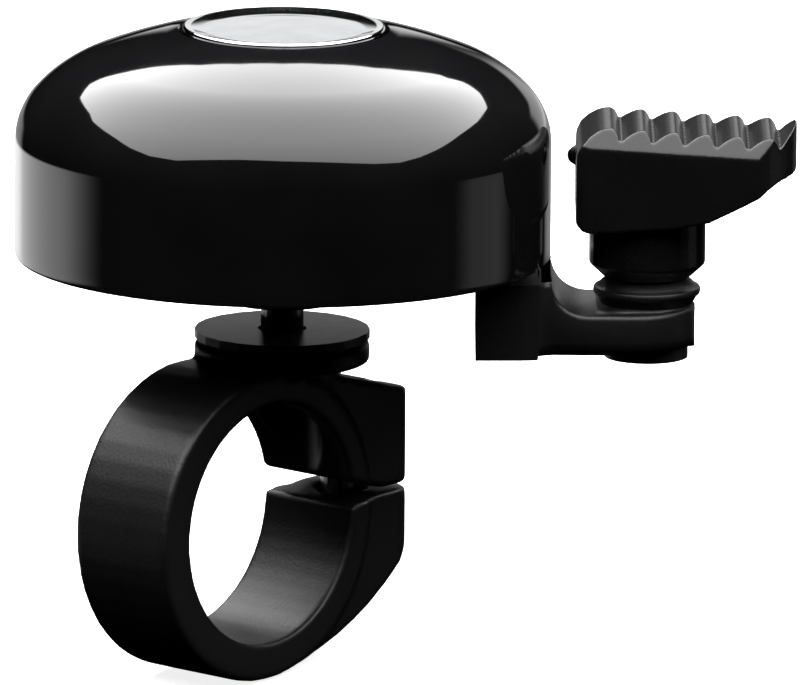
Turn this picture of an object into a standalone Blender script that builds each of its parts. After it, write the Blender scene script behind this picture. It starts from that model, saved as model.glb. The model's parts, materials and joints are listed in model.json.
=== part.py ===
"""Bicycle bell: a painted dome over a moulded base, rung by a sprung thumb lever, on a handlebar clamp.

Metres, +Z up. The origin is the centre of the handlebar's bore, +Y runs along the handlebar, and the
clamp's lugs point to +X. The bell turns on the clamp about the dome's upright axis, and at rest its
lever arm points BELL_TURN away from +X.
"""

import math

import bmesh
import bpy
from mathutils import Matrix, Vector

MM = 0.001

# Clearances
SEAT_GAP = 0.3 * MM  # between two pieces that rest on each other
FIT_GAP = 0.3 * MM  # round a shank in its hole
OVERCUT = 1.0 * MM  # how far a cutter runs past a face

# Handlebar clamp
BAR_BORE_R = 11.3 * MM
RING_R = BAR_BORE_R + 3.2 * MM
RING_OFFSET = 0.6 * MM  # the strap's outside stands this far back from the bore's centre
RING_DROP = 0.2 * MM  # and this far below it
RING_HALF_WIDTH = 5.6 * MM
LUG_HALF_WIDTH = RING_HALF_WIDTH - 0.4 * MM
LUG_END_X = BAR_BORE_R + 9.8 * MM
LUG_CORNER_R = 3.0 * MM
LUG_TOP_INNER_Z = RING_R - 1.9 * MM
LUG_TOP_OUTER_Z = RING_R - 4.8 * MM
LUG_BELLY_R = RING_R + 15.5 * MM  # the sweep under the lower lug
LUG_BELLY_X = -1.3 * MM  # where the sweep is lowest
SLIT_Z = 0.6 * MM
SLIT_HEIGHT = 0.55 * MM
NOTCH_LOW_Z = -0.1 * MM  # the V at the slit's mouth
NOTCH_HIGH_Z = 2.3 * MM
NOTCH_DEPTH = 4.7 * MM
SEAT_R = 8.2 * MM
SEAT_RISE = 1.4 * MM  # the seat for the bell stands this far above the strap
SEAT_HEIGHT = 2.0 * MM
SEAT_NECK_R = 5.4 * MM

# Clamp screw, M4
SCREW_X = LUG_END_X - 5.1 * MM
SCREW_R = 2.0 * MM
SCREW_HEAD_R = 3.5 * MM
SCREW_HEAD_HEIGHT = 2.4 * MM
SCREW_SOCKET_AF = 3.0 * MM
CLAMP_WASHER_R = 3.9 * MM
CLAMP_WASHER_THICKNESS = 0.8 * MM
LOWER_LUG_THICKNESS = 5.6 * MM  # below the slit, down to the washer's seat
NUT_POCKET_FLOOR_Z = LUG_TOP_OUTER_Z - 2.7 * MM
CLAMP_NUT_AF = 7.0 * MM
CLAMP_NUT_HEIGHT = 2.6 * MM

# Bell axis and base
BELL_TURN = math.radians(-49.0)
BELL_X = 7.5 * MM
DOME_R = 25.0 * MM
BASE_R = DOME_R
BEAD_OUT = 1.15 * MM  # the bead stands out from the base's wall by this
BASE_DEPTH = 8.45 * MM
BASE_WALL = 1.8 * MM
BASE_FLOOR = 1.8 * MM
RIM_DROP = 1.15 * MM  # the bead's top below the dome's edge
HUB_R = 9.6 * MM
RECESS_R = 8.9 * MM
RECESS_DEPTH = 1.7 * MM
HUB_THICKNESS = 2.2 * MM
FRICTION_WASHER_THICKNESS = 0.8 * MM

# Centre bolt, M4, and what it holds
BOLT_R = 2.0 * MM
BOLT_HEAD_R = 3.4 * MM
BOLT_HEAD_HEIGHT = 1.5 * MM
BOLT_HEAD_CLEARANCE = 0.35 * MM  # above the handlebar
WAVE_WASHER_R = 3.3 * MM
WAVE_WASHER_THICKNESS = 0.3 * MM
WAVE_HEIGHT = 0.12 * MM
WAVES = 3
BASE_WASHER_R = 5.5 * MM
BASE_WASHER_THICKNESS = 0.8 * MM
LOCK_WASHER_R = 3.8 * MM
LOCK_WASHER_THICKNESS = 1.0 * MM
LOCK_WASHER_SPLIT = 0.7 * MM
BASE_NUT_AF = 7.0 * MM
BASE_NUT_HEIGHT = 2.7 * MM
SPACER_R = 4.0 * MM
DOME_WASHER_R = 7.5 * MM
DOME_WASHER_THICKNESS = 1.2 * MM

# Dome
DOME_THICKNESS = 1.2 * MM
DOME_WALL_HEIGHT = 10.8 * MM
SHOULDER_R = 6.9 * MM
SHOULDER_END = math.radians(43.0)
HAUNCH_R = 13.2 * MM
HAUNCH_END = math.radians(68.4)
CROWN_R = 55.0 * MM
CROWN_RECESS = 0.7 * MM

# Cap nut
CAP_R = 9.45 * MM
CAP_FLOOR_R = 7.2 * MM
CAP_FLANGE = 0.75 * MM
CAP_DISH = 0.35 * MM
CAP_BOSS_R = 4.2 * MM

# Arm and ball
ARM_END_X = BASE_R + 7.1 * MM  # the centre of its round end
ARM_HALF_WIDTH = 6.4 * MM
ARM_TOP_DROP = 4.4 * MM
ARM_BOTTOM_RISE = 0.05 * MM  # its underside stands this far up from the tray's
ARM_FLARE_R = 2.2 * MM  # where its sides run into the tray
ARM_ROOT_R = 3.4 * MM  # where its top runs up to the bead
ARM_TOP_EDGE_R = 0.5 * MM
ARM_BOTTOM_EDGE_R = 1.4 * MM
BALL_R = 6.36 * MM
PIVOT_DROP = BALL_R + 0.6 * MM  # the ball's centre, and the lever's hinge, below the dome's edge
FLANGE_R = 4.8 * MM
FLANGE_EDGE_R = 0.55 * MM
BALL_BORE_FLARE_R = 3.5 * MM

# Lever
LEVER_X = DOME_R + 9.0 * MM
COLLAR_R = 5.45 * MM
COLLAR_NECK_R = 4.1 * MM
COLLAR_CHAMFER_Z = -0.45 * MM
LEVER_INNER_X = DOME_R + 2.25 * MM
LEVER_TIP_X = LEVER_INNER_X + 20.6 * MM
LEVER_CORNER_R = 1.2 * MM
LEVER_HALF_WIDTH = 6.6 * MM
LEVER_SIDE_TRIM = 0.15 * MM  # the side view is drawn this much wider, and the plan trims it
LEVER_END_R = LEVER_HALF_WIDTH + 1.2 * MM  # the rounded end, seen from above
LEVER_EDGE_R = 1.2 * MM  # round the lower edges
LEVER_BOTTOM_Z = 3.4 * MM
LEVER_SLOPE = 0.06  # the row of ridges falls by this towards the tip
VALLEY_Z = 12.2 * MM  # the valleys' height above the dome's edge, at the lever's inner face
LIP_HEIGHT = 2.2 * MM
END_FACE_HEIGHT = 4.7 * MM
RIDGE_COUNT = 6
RIDGE_PITCH = 2.96 * MM
RIDGE_HEIGHT = 1.2 * MM
RIDGE_END_DEPTH = 1.85 * MM  # the ridges' sloping ends drop this far
RIDGE_END_WIDTH = 1.25 * MM
STRIKER_R = 0.95 * MM
STRIKER_LENGTH = 7.5 * MM
STRIKER_GAP = 1.45 * MM
STRIKER_Z = 9.6 * MM
SPRING_R = 2.2 * MM
SPRING_WIRE_R = 0.3 * MM
SPRING_TURNS = 11
SPRING_LENGTH = 11.0 * MM
SPRING_BORE_R = 2.9 * MM
CORE_R = 1.5 * MM
RETAINER_HEAD_R = 3.6 * MM
RETAINER_HEAD_HEIGHT = 1.2 * MM
RETAINER_LENGTH = 2.3 * MM
CORE_PIN_LENGTH = 5.6 * MM
CORE_PIN_GRIP = 1.8 * MM

STEPS = 48
SMALL_STEPS = 24

parts = None
cutters = None


def clear_scene():
    for obj in list(bpy.data.objects):
        bpy.data.objects.remove(obj, do_unlink=True)


def new_collection(name):
    made = bpy.data.collections.new(name)
    bpy.context.scene.collection.children.link(made)
    return made


def new_empty(name, parent, location, turn=0.0):
    empty = bpy.data.objects.new(name, None)
    empty.empty_display_size = 5 * MM
    empty.location = location
    empty.rotation_euler = (0.0, 0.0, turn)
    empty.parent = parent
    parts.objects.link(empty)
    return empty


def material(name, colour, roughness, metallic):
    made = bpy.data.materials.new(name)
    made.use_nodes = True
    shader = made.node_tree.nodes["Principled BSDF"]
    shader.inputs["Base Color"].default_value = (*colour, 1.0)
    shader.inputs["Roughness"].default_value = roughness
    shader.inputs["Metallic"].default_value = metallic
    return made


def add_object(name, mesh, parent, finish):
    obj = bpy.data.objects.new(name, mesh)
    obj.parent = parent
    parts.objects.link(obj)
    if finish:
        mesh.materials.append(finish)
    return obj


def as_cutter(obj):
    parts.objects.unlink(obj)
    cutters.objects.link(obj)
    obj.hide_render = True
    obj.display_type = "WIRE"
    return obj


def turned(name, profile, parent, finish=None, steps=STEPS, ring=False):
    """A turned solid. The profile runs down its outer side; a ring's profile closes on itself."""
    count = len(profile)
    edges = [(i, i + 1) for i in range(count - 1)]
    if ring:
        edges.append((count - 1, 0))
    mesh = bpy.data.meshes.new(name)
    mesh.from_pydata([(r, 0.0, z) for r, z in profile], edges, [])
    obj = add_object(name, mesh, parent, finish)
    screw = obj.modifiers.new("turn", "SCREW")
    screw.steps = screw.render_steps = steps
    screw.use_merge_vertices = True
    screw.merge_threshold = 0.00001
    screw.use_smooth_shade = True
    return obj


def ring_profile(inner, outer, low, high):
    return [(outer, high), (outer, low), (inner, low), (inner, high)]


def washer(name, inner, outer, low, thickness, parent, finish):
    profile = ring_profile(inner, outer, low, low + thickness)
    return turned(name, profile, parent, finish, SMALL_STEPS, ring=True)


def cylinder(name, radius, low, high, parent, at=(0.0, 0.0), steps=SMALL_STEPS, finish=None):
    shape = bmesh.new()
    place = Matrix.Translation((at[0], at[1], (low + high) / 2))
    bmesh.ops.create_cone(
        shape,
        cap_ends=True,
        segments=steps,
        radius1=radius,
        radius2=radius,
        depth=high - low,
        matrix=place,
    )
    mesh = bpy.data.meshes.new(name)
    shape.to_mesh(mesh)
    shape.free()
    return add_object(name, mesh, parent, finish)


def box(name, low, high, parent):
    shape = bmesh.new()
    bmesh.ops.create_cube(shape, size=1.0)
    size = Vector(high) - Vector(low)
    place = Matrix.Translation((Vector(high) + Vector(low)) / 2)
    bmesh.ops.transform(shape, matrix=place @ Matrix.Diagonal((*size, 1.0)), verts=shape.verts)
    mesh = bpy.data.meshes.new(name)
    shape.to_mesh(mesh)
    shape.free()
    return add_object(name, mesh, parent, None)


def plate(name, outline, half_thickness, parent, finish=None, upright=False):
    """A flat outline given thickness. Upright, the outline lies in XZ and the thickness runs along Y."""
    curve = bpy.data.curves.new(name, "CURVE")
    curve.dimensions = "2D"
    curve.fill_mode = "BOTH"
    curve.extrude = half_thickness
    spline = curve.splines.new("POLY")
    spline.points.add(len(outline) - 1)
    for point, (x, y) in zip(spline.points, outline):
        point.co = (x, y, 0.0, 1.0)
    spline.use_cyclic_u = True
    guide = bpy.data.objects.new(name + "_outline", curve)
    parts.objects.link(guide)
    graph = bpy.context.evaluated_depsgraph_get()
    mesh = bpy.data.meshes.new_from_object(guide.evaluated_get(graph))
    bpy.data.objects.remove(guide, do_unlink=True)
    if upright:
        mesh.transform(Matrix.Rotation(math.pi / 2, 4, "X"))
    shape = bmesh.new()
    shape.from_mesh(mesh)
    bmesh.ops.remove_doubles(shape, verts=shape.verts, dist=0.000001)
    bmesh.ops.recalc_face_normals(shape, faces=shape.faces)
    shape.to_mesh(mesh)
    shape.free()
    mesh.materials.clear()
    return add_object(name, mesh, parent, finish)


def combine(obj, other, operation):
    """Joins or cuts with another solid, which becomes a cutter."""
    cut = obj.modifiers.new(operation.lower() + "_" + other.name, "BOOLEAN")
    cut.operation = operation
    cut.solver = "EXACT"
    cut.object = as_cutter(other)


def arc(cx, cy, radius, start, end, count):
    """Points along an arc, both ends included."""
    points = []
    for i in range(count + 1):
        angle = start + (end - start) * i / count
        points.append((cx + radius * math.cos(angle), cy + radius * math.sin(angle)))
    return points


def hexagon(across_flats):
    radius = across_flats / 2 / math.cos(math.pi / 6)
    return arc(0.0, 0.0, radius, 0.0, math.radians(300.0), 5)


def nut(name, across_flats, hole_r, low, height, parent, finish, x=0.0):
    points = [(x + px, py) for px, py in hexagon(across_flats)]
    body = plate(name, points, height / 2, parent, finish)
    body.data.transform(Matrix.Translation((0.0, 0.0, low + height / 2)))
    hole = cylinder(name + "_hole", hole_r, low - OVERCUT, low + height + OVERCUT, parent, (x, 0.0))
    combine(body, hole, "DIFFERENCE")
    return body


# Heights in the bell's own frame, whose zero is the dome's lower edge


def base_bottom():
    return -BASE_DEPTH


def recess_roof():
    return base_bottom() + RECESS_DEPTH


def hub_top():
    return recess_roof() + HUB_THICKNESS


def friction_washer_low():
    return recess_roof() - SEAT_GAP - FRICTION_WASHER_THICKNESS


def seat_top():
    """The clamp's seat, below the friction washer."""
    return friction_washer_low() - SEAT_GAP


def clamp_seat_z():
    """The same seat in the part's own frame, above the strap's round outside."""
    return RING_R - RING_DROP + SEAT_RISE


def dome_edge_z():
    """The dome's lower edge above the handlebar's centre."""
    return clamp_seat_z() - seat_top()


def bolt_head_low():
    """The head clears a handlebar that fills the bore."""
    nearest = BELL_X - BOLT_HEAD_R
    return math.sqrt(BAR_BORE_R**2 - nearest**2) + BOLT_HEAD_CLEARANCE - dome_edge_z()


def wave_washer_low():
    return bolt_head_low() + BOLT_HEAD_HEIGHT + SEAT_GAP


def base_washer_low():
    return hub_top() + SEAT_GAP


def lock_washer_low():
    return base_washer_low() + BASE_WASHER_THICKNESS + SEAT_GAP


def base_nut_low():
    return lock_washer_low() + LOCK_WASHER_THICKNESS + SEAT_GAP


def spacer_low():
    return base_nut_low() + BASE_NUT_HEIGHT + SEAT_GAP


def crown_seat():
    """The flat ring that the cap nut's flange rests on, let into the crown."""
    return dome_curve(0.0)[-1][1] - CROWN_RECESS


def dome_washer_top():
    return crown_seat() - DOME_THICKNESS - SEAT_GAP


def spacer_top():
    return dome_washer_top() - DOME_WASHER_THICKNESS - SEAT_GAP


def cap_low():
    return crown_seat() + SEAT_GAP


def cap_boss_low():
    return dome_washer_top() + SEAT_GAP


def lever_pivot_z():
    return -PIVOT_DROP


def dome_curve(inset):
    """The dome's side from its edge to its crown, three tangent arcs, set in by a wall's thickness."""
    x = DOME_R - SHOULDER_R
    z = DOME_WALL_HEIGHT
    points = arc(x, z, SHOULDER_R - inset, 0.0, SHOULDER_END, 7)
    x += (SHOULDER_R - HAUNCH_R) * math.cos(SHOULDER_END)
    z += (SHOULDER_R - HAUNCH_R) * math.sin(SHOULDER_END)
    points += arc(x, z, HAUNCH_R - inset, SHOULDER_END, HAUNCH_END, 5)[1:]
    x += (HAUNCH_R - CROWN_R) * math.cos(HAUNCH_END)
    z += (HAUNCH_R - CROWN_R) * math.sin(HAUNCH_END)
    crown_end = math.acos((CAP_R + SEAT_GAP - x) / (CROWN_R - inset))
    points += arc(x, z, CROWN_R - inset, HAUNCH_END, crown_end, 3)[1:]
    return points


def make_dome(parent, finish):
    hole_r = CAP_BOSS_R + FIT_GAP
    outer = dome_curve(0.0)
    inner = dome_curve(DOME_THICKNESS)
    seat = crown_seat()
    rim = CAP_R + SEAT_GAP
    profile = [(hole_r, seat), (rim, seat)]
    profile += outer[::-1]
    profile += [(DOME_R, 0.0), (DOME_R - DOME_THICKNESS, 0.0)]
    profile += [(r, z) for r, z in inner if z < seat - DOME_THICKNESS and r > rim]
    profile += [(rim - DOME_THICKNESS, seat - DOME_THICKNESS), (hole_r, seat - DOME_THICKNESS)]
    return turned("dome", profile, parent, finish, ring=True)


def make_cap_nut(parent, finish):
    low = cap_low()
    top = low + CAP_FLANGE
    profile = [
        (0.0, top - CAP_DISH + 0.15 * MM),
        (CAP_FLOOR_R * 0.5, top - CAP_DISH + 0.11 * MM),
        (CAP_FLOOR_R, top - CAP_DISH),
        (CAP_R - 0.5 * MM, top),
        (CAP_R - 0.15 * MM, top - 0.06 * MM),
        (CAP_R, top - 0.25 * MM),
        (CAP_R, low),
        (CAP_BOSS_R, low),
        (CAP_BOSS_R, cap_boss_low()),
        (BOLT_R + FIT_GAP, cap_boss_low()),
        (BOLT_R + FIT_GAP, low - SEAT_GAP),
        (0.0, low - SEAT_GAP),
    ]
    return turned("cap_nut", profile, parent, finish)


def make_center_bolt(parent, finish):
    low = bolt_head_low()
    profile = [
        (0.0, cap_low() - 2 * SEAT_GAP),
        (BOLT_R, cap_low() - 2 * SEAT_GAP),
        (BOLT_R, low + BOLT_HEAD_HEIGHT),
        (BOLT_HEAD_R, low + BOLT_HEAD_HEIGHT),
        (BOLT_HEAD_R, low),
        (0.0, low),
    ]
    return turned("center_bolt", profile, parent, finish, SMALL_STEPS)


def make_wave_washer(parent, finish):
    """A thin spring ring bent in waves, which keeps the swivel stiff."""
    inner = BOLT_R + FIT_GAP
    middle = wave_washer_low() + WAVE_HEIGHT
    ring = turned(
        "wave_washer",
        ring_profile(inner, WAVE_WASHER_R, middle, middle + WAVE_WASHER_THICKNESS),
        parent,
        finish,
        STEPS,
        ring=True,
    )
    graph = bpy.context.evaluated_depsgraph_get()
    mesh = bpy.data.meshes.new_from_object(ring.evaluated_get(graph))
    for vertex in mesh.vertices:
        angle = math.atan2(vertex.co.y, vertex.co.x)
        vertex.co.z += WAVE_HEIGHT * math.cos(WAVES * angle)
    ring.modifiers.clear()
    ring.data = mesh
    return ring


def make_lock_washer(parent, finish):
    low = lock_washer_low()
    thickness = LOCK_WASHER_THICKNESS
    inner = BOLT_R + FIT_GAP
    ring = washer("base_lock_washer", inner, LOCK_WASHER_R, low, thickness, parent, finish)
    split = box(
        "lock_washer_split",
        (0.0, -LOCK_WASHER_SPLIT / 2, low - OVERCUT),
        (LOCK_WASHER_R + OVERCUT, LOCK_WASHER_SPLIT / 2, low + thickness + OVERCUT),
        parent,
    )
    combine(ring, split, "DIFFERENCE")
    return ring


def make_base(parent, finish):
    """The tray, with its rolled bead, and the arm that carries the lever on a ball."""
    tray = turned("base", tray_outside() + tray_inside(), parent, finish, ring=True)
    combine(tray, make_arm(parent), "UNION")
    combine(tray, make_arm_root(parent), "UNION")
    combine(tray, make_ball(parent), "UNION")
    combine(tray, make_spring_bore(parent), "DIFFERENCE")
    return tray


def tray_outside():
    """From the top of the rim over the bead, down the wall and in under the floor."""
    bead = BASE_R + BEAD_OUT
    top = -RIM_DROP
    return [
        (BASE_R - BASE_WALL, top - 0.3 * MM),
        (BASE_R - 0.4 * MM, top - 0.25 * MM),
        (BASE_R + 0.1 * MM, top - 0.05 * MM),
        (BASE_R + 0.6 * MM, top - 0.02 * MM),
        (bead - 0.2 * MM, top - 0.45 * MM),
        (bead, top - 1.1 * MM),
        (bead - 0.15 * MM, top - 1.9 * MM),
        (bead - 0.6 * MM, top - 2.65 * MM),
        (BASE_R, top - 3.5 * MM),
        (BASE_R, top - 4.6 * MM),
        (BASE_R - 0.45 * MM, top - 5.1 * MM),
        (BASE_R - 1.5 * MM, top - 5.8 * MM),
        (BASE_R - 2.5 * MM, top - 6.55 * MM),
        (BASE_R - 3.6 * MM, base_bottom() + 0.15 * MM),
        (BASE_R - 4.6 * MM, base_bottom()),
    ]


def tray_inside():
    """From the recess for the clamp's seat through the bolt hole and over the hub to the wall."""
    wall = BASE_R - BASE_WALL
    floor = base_bottom() + BASE_FLOOR
    hole = BOLT_R + FIT_GAP
    return [
        (RECESS_R, base_bottom()),
        (RECESS_R, recess_roof()),
        (hole, recess_roof()),
        (hole, hub_top()),
        (HUB_R, hub_top()),
        (HUB_R + 1.0 * MM, floor),
        (wall - 2.5 * MM, floor),
        (wall - 0.6 * MM, floor + 1.4 * MM),
        (wall, floor + 2.6 * MM),
    ]


def tray_room(name, parent):
    """Keeps what joins the tray out of its hollow, and ends inside the tray's wall and floor."""
    low = base_bottom() + BASE_FLOOR / 2
    return cylinder(name, BASE_R - BASE_WALL / 2, low, OVERCUT, parent, steps=STEPS)


def make_arm(parent):
    """A round-ended bar that flares into the tray's wall and runs in under its floor."""
    low = base_bottom() + ARM_BOTTOM_RISE
    high = -ARM_TOP_DROP
    inner = BASE_R - 7.0 * MM
    flare_y = ARM_HALF_WIDTH + ARM_FLARE_R
    flare_x = math.sqrt((BASE_R + ARM_FLARE_R) ** 2 - flare_y**2)
    turn = math.atan2(flare_y, flare_x)
    end = arc(ARM_END_X, 0.0, ARM_HALF_WIDTH, -math.pi / 2, math.pi / 2, 14)
    upper = arc(flare_x, flare_y, ARM_FLARE_R, -math.pi / 2, -math.pi + turn, 5)
    lower = [(x, -y) for x, y in reversed(upper)]
    side_x = inner * math.cos(turn)
    side_y = inner * math.sin(turn)
    outline = lower + end + upper + [(side_x, side_y), (side_x, -side_y)]
    arm = plate("arm", outline, (high - low) / 2, parent)
    arm.data.transform(Matrix.Translation((0.0, 0.0, (low + high) / 2)))
    soften_ends(arm, ARM_TOP_EDGE_R, ARM_BOTTOM_EDGE_R, flare_x)
    combine(arm, tray_room("arm_room", parent), "DIFFERENCE")
    return arm


def soften_ends(obj, top, bottom, beyond):
    """Rounds the upper and lower edges of a plate beyond some X, each by its own radius."""
    mesh = obj.data
    middle = sum(vertex.co.z for vertex in mesh.vertices) / len(mesh.vertices)
    weights = mesh.attributes.new("bevel_weight_edge", "FLOAT", "EDGE")
    for edge in mesh.edges:
        a, b = (mesh.vertices[i].co for i in edge.vertices)
        if abs(a.z - b.z) > 0.1 * MM or min(a.x, b.x) < beyond - 0.1 * MM:
            continue
        weights.data[edge.index].value = (top if a.z > middle else bottom) / max(top, bottom)
    bevel = obj.modifiers.new("round_edges", "BEVEL")
    bevel.width = max(top, bottom)
    bevel.segments = 3
    bevel.limit_method = "WEIGHT"


def make_arm_root(parent):
    """The hollow curve from the bead's top down to the arm's top."""
    top = -RIM_DROP - 0.1 * MM
    low = -ARM_TOP_DROP - 0.9 * MM
    start = BASE_R - BASE_WALL * 0.4
    reach = BASE_R + 0.1 * MM
    points = [(start, low), (reach + ARM_ROOT_R + 0.4 * MM, low)]
    drop = -ARM_TOP_DROP - top
    for i in range(7):
        angle = math.pi / 2 * i / 6
        points.append((reach + ARM_ROOT_R * (1 - math.sin(angle)), top + drop * math.cos(angle)))
    points.append((start, top))
    return plate("arm_root", points, ARM_HALF_WIDTH - ARM_TOP_EDGE_R, parent, upright=True)


def make_ball(parent):
    """The ball that the lever's collar rocks on, standing on a round-edged flange."""
    centre = lever_pivot_z()
    edge = math.acos((FLANGE_R - FLANGE_EDGE_R * 0.3) / BALL_R)
    profile = arc(0.0, centre, BALL_R, math.pi / 2, edge, 8)
    rim_r = FLANGE_R - FLANGE_EDGE_R * 0.6
    rim_z = profile[-1][1] - FLANGE_EDGE_R * 0.8
    profile += arc(rim_r, rim_z, FLANGE_EDGE_R, math.radians(35.0), math.radians(-65.0), 5)
    root = -ARM_TOP_DROP - 0.5 * MM
    profile += [(FLANGE_R - 0.6 * MM, root), (0.0, root)]
    ball = turned("ball", profile, parent, None, 32)
    ball.location.x = LEVER_X
    return ball


def make_spring_bore(parent):
    """The spring's bore through the ball, flared at its mouth, with the retainer's counterbore below."""
    head = retainer_head_top() + SEAT_GAP
    mouth = lever_pivot_z() + BALL_R + OVERCUT
    profile = [
        (0.0, mouth),
        (BALL_BORE_FLARE_R, mouth),
        (BALL_BORE_FLARE_R, lever_pivot_z() + BALL_R * 0.8),
        (SPRING_BORE_R, lever_pivot_z() + BALL_R * 0.35),
        (SPRING_BORE_R, head),
        (RETAINER_HEAD_R + FIT_GAP, head),
        (RETAINER_HEAD_R + FIT_GAP, base_bottom() - OVERCUT),
        (0.0, base_bottom() - OVERCUT),
    ]
    bore = turned("spring_bore", profile, parent, None, SMALL_STEPS)
    bore.location.x = LEVER_X
    return bore


def retainer_head_top():
    return base_bottom() + 0.15 * MM + RETAINER_HEAD_HEIGHT


def spring_low():
    return retainer_head_top() + SEAT_GAP + SPRING_WIRE_R


def make_spring(parent, finish):
    """A close-wound coil, half in the ball and half in the lever, which stands the lever upright."""
    points_a_turn = 10
    count = SPRING_TURNS * points_a_turn
    curve = bpy.data.curves.new("hammer_spring", "CURVE")
    curve.dimensions = "3D"
    curve.bevel_depth = SPRING_WIRE_R
    curve.bevel_resolution = 2
    curve.use_fill_caps = True
    spline = curve.splines.new("POLY")
    spline.points.add(count)
    rise = SPRING_LENGTH - 2 * SPRING_WIRE_R
    for i, point in enumerate(spline.points):
        angle = 2 * math.pi * i / points_a_turn
        height = spring_low() - lever_pivot_z() + rise * i / count
        point.co = (SPRING_R * math.cos(angle), SPRING_R * math.sin(angle), height, 1.0)
    spring = bpy.data.objects.new("hammer_spring", curve)
    spring.parent = parent
    curve.materials.append(finish)
    parts.objects.link(spring)
    return spring


def make_spring_retainer(parent, finish):
    low = base_bottom() + 0.15 * MM
    head = retainer_head_top()
    profile = [
        (0.0, head + RETAINER_LENGTH),
        (CORE_R, head + RETAINER_LENGTH),
        (CORE_R, head),
        (RETAINER_HEAD_R, head),
        (RETAINER_HEAD_R, low),
        (0.0, low),
    ]
    screw = turned("spring_retainer", profile, parent, finish, SMALL_STEPS)
    screw.location.x = LEVER_X
    slot = box(
        "retainer_slot",
        (-RETAINER_HEAD_R * 2, -0.5 * MM, low - OVERCUT),
        (RETAINER_HEAD_R * 2, 0.5 * MM, low + 0.6 * MM),
        parent,
    )
    slot.location.x = LEVER_X
    combine(screw, slot, "DIFFERENCE")
    return screw


# The lever is drawn about its pivot, which is the ball's centre


def valley_z(x):
    return VALLEY_Z - LEVER_SLOPE * (x - LEVER_INNER_X)


def ridge_points():
    """A row of rounded teeth, a long rise and a short fall each, from the dome's side to the tip."""
    first = [(0.03, -1.1), (0.15, -0.45), (0.4, 0.28), (0.65, 0.72), (0.85, 0.94)]
    other = [(0.0, 0.0), (0.22, 0.42), (0.45, 0.78), (0.62, 0.95)]
    points = []
    start = LEVER_INNER_X + 4.0 * MM - RIDGE_PITCH * 0.98
    for i in range(RIDGE_COUNT):
        low = LEVER_INNER_X if i == 0 else start + i * RIDGE_PITCH
        for share, height in first if i == 0 else other:
            x = low + share * (start + 0.7 * RIDGE_PITCH - LEVER_INNER_X if i == 0 else RIDGE_PITCH)
            points.append((x, valley_z(x) + height * RIDGE_HEIGHT))
        for share, height in ((0.72, 1.0), (0.85, 0.84), (0.94, 0.5)):
            x = start + (i + share) * RIDGE_PITCH
            points.append((x, valley_z(x) + height * RIDGE_HEIGHT))
    last = start + RIDGE_COUNT * RIDGE_PITCH
    points.append((last, valley_z(last)))
    return points


def lever_outline():
    """The lever's side view: ridges along the top, an end face, and a belly that rises to it."""
    top = ridge_points()
    tip = valley_z(LEVER_TIP_X) + LIP_HEIGHT
    low = LEVER_BOTTOM_Z
    end = tip - END_FACE_HEIGHT
    rise = end - low
    reach = LEVER_TIP_X - LEVER_INNER_X
    shares = ((1.0, 1.0), (0.905, 0.91), (0.865, 0.8), (0.83, 0.68), (0.75, 0.51))
    shares += ((0.675, 0.36), (0.6, 0.21), (0.45, 0.1), (0.27, 0.05))
    under = [(LEVER_INNER_X + reach * x, low + rise * z) for x, z in shares]
    radius = LEVER_CORNER_R
    corner = arc(LEVER_INNER_X + radius, low + radius, radius, -math.pi / 2, -math.pi, 3)
    return top + [(LEVER_TIP_X, tip)] + under + corner


def lever_plan():
    """The lever from above: square-sided, with small corners by the dome and a rounded tip."""
    half = LEVER_HALF_WIDTH
    end_x = LEVER_TIP_X - LEVER_END_R
    turn = math.asin(half / LEVER_END_R)
    corner = LEVER_CORNER_R
    inner = LEVER_INNER_X + corner
    points = arc(end_x, 0.0, LEVER_END_R, -turn, turn, 12)
    points += arc(inner, half - corner, corner, math.pi / 2, math.pi, 4)
    points += arc(inner, corner - half, corner, math.pi, 1.5 * math.pi, 4)
    return points


def lever_section():
    """The lever's cross-section under its ridges, whose ends slope down to the two sides."""
    half = LEVER_HALF_WIDTH
    slope = RIDGE_END_DEPTH / RIDGE_END_WIDTH
    extra = 2.0 * MM
    outer = half + OVERCUT
    edge = RIDGE_HEIGHT - RIDGE_END_DEPTH - OVERCUT * slope
    inner = half - RIDGE_END_WIDTH - extra / slope
    side = [(outer, -RING_R), (outer, edge), (inner, RIDGE_HEIGHT + extra)]
    return side + [(-y, z) for y, z in reversed(side)]


def make_lever(parent, finish):
    pivot = lever_pivot_z()
    outline = [(x - LEVER_X, z - pivot) for x, z in lever_outline()]
    side = LEVER_HALF_WIDTH + LEVER_SIDE_TRIM
    lever = plate("thumb_lever", outline, side, parent, finish, upright=True)
    soften_belly(lever, side)
    plan = plate("lever_plan", [(x - LEVER_X, y) for x, y in lever_plan()], RING_R * 3, parent)
    combine(lever, plan, "INTERSECT")
    section = plate("lever_section", lever_section(), LEVER_TIP_X, parent)
    section.data.transform(Matrix.Rotation(math.pi / 2, 4, "Z") @ Matrix.Rotation(math.pi / 2, 4, "X"))
    section.data.transform(Matrix.Rotation(math.atan(LEVER_SLOPE), 4, "Y"))
    section.location.z = valley_z(LEVER_X) - pivot
    combine(lever, section, "INTERSECT")
    combine(lever, turned("collar", collar_profile(), parent, None, 32), "UNION")
    dish = turned("collar_dish", dish_profile(), parent, None, SMALL_STEPS)
    combine(lever, dish, "DIFFERENCE")
    combine(lever, turned("spring_cavity", cavity_profile(), parent, None, SMALL_STEPS), "DIFFERENCE")
    combine(lever, make_striker_hole(parent), "DIFFERENCE")
    return lever


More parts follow.
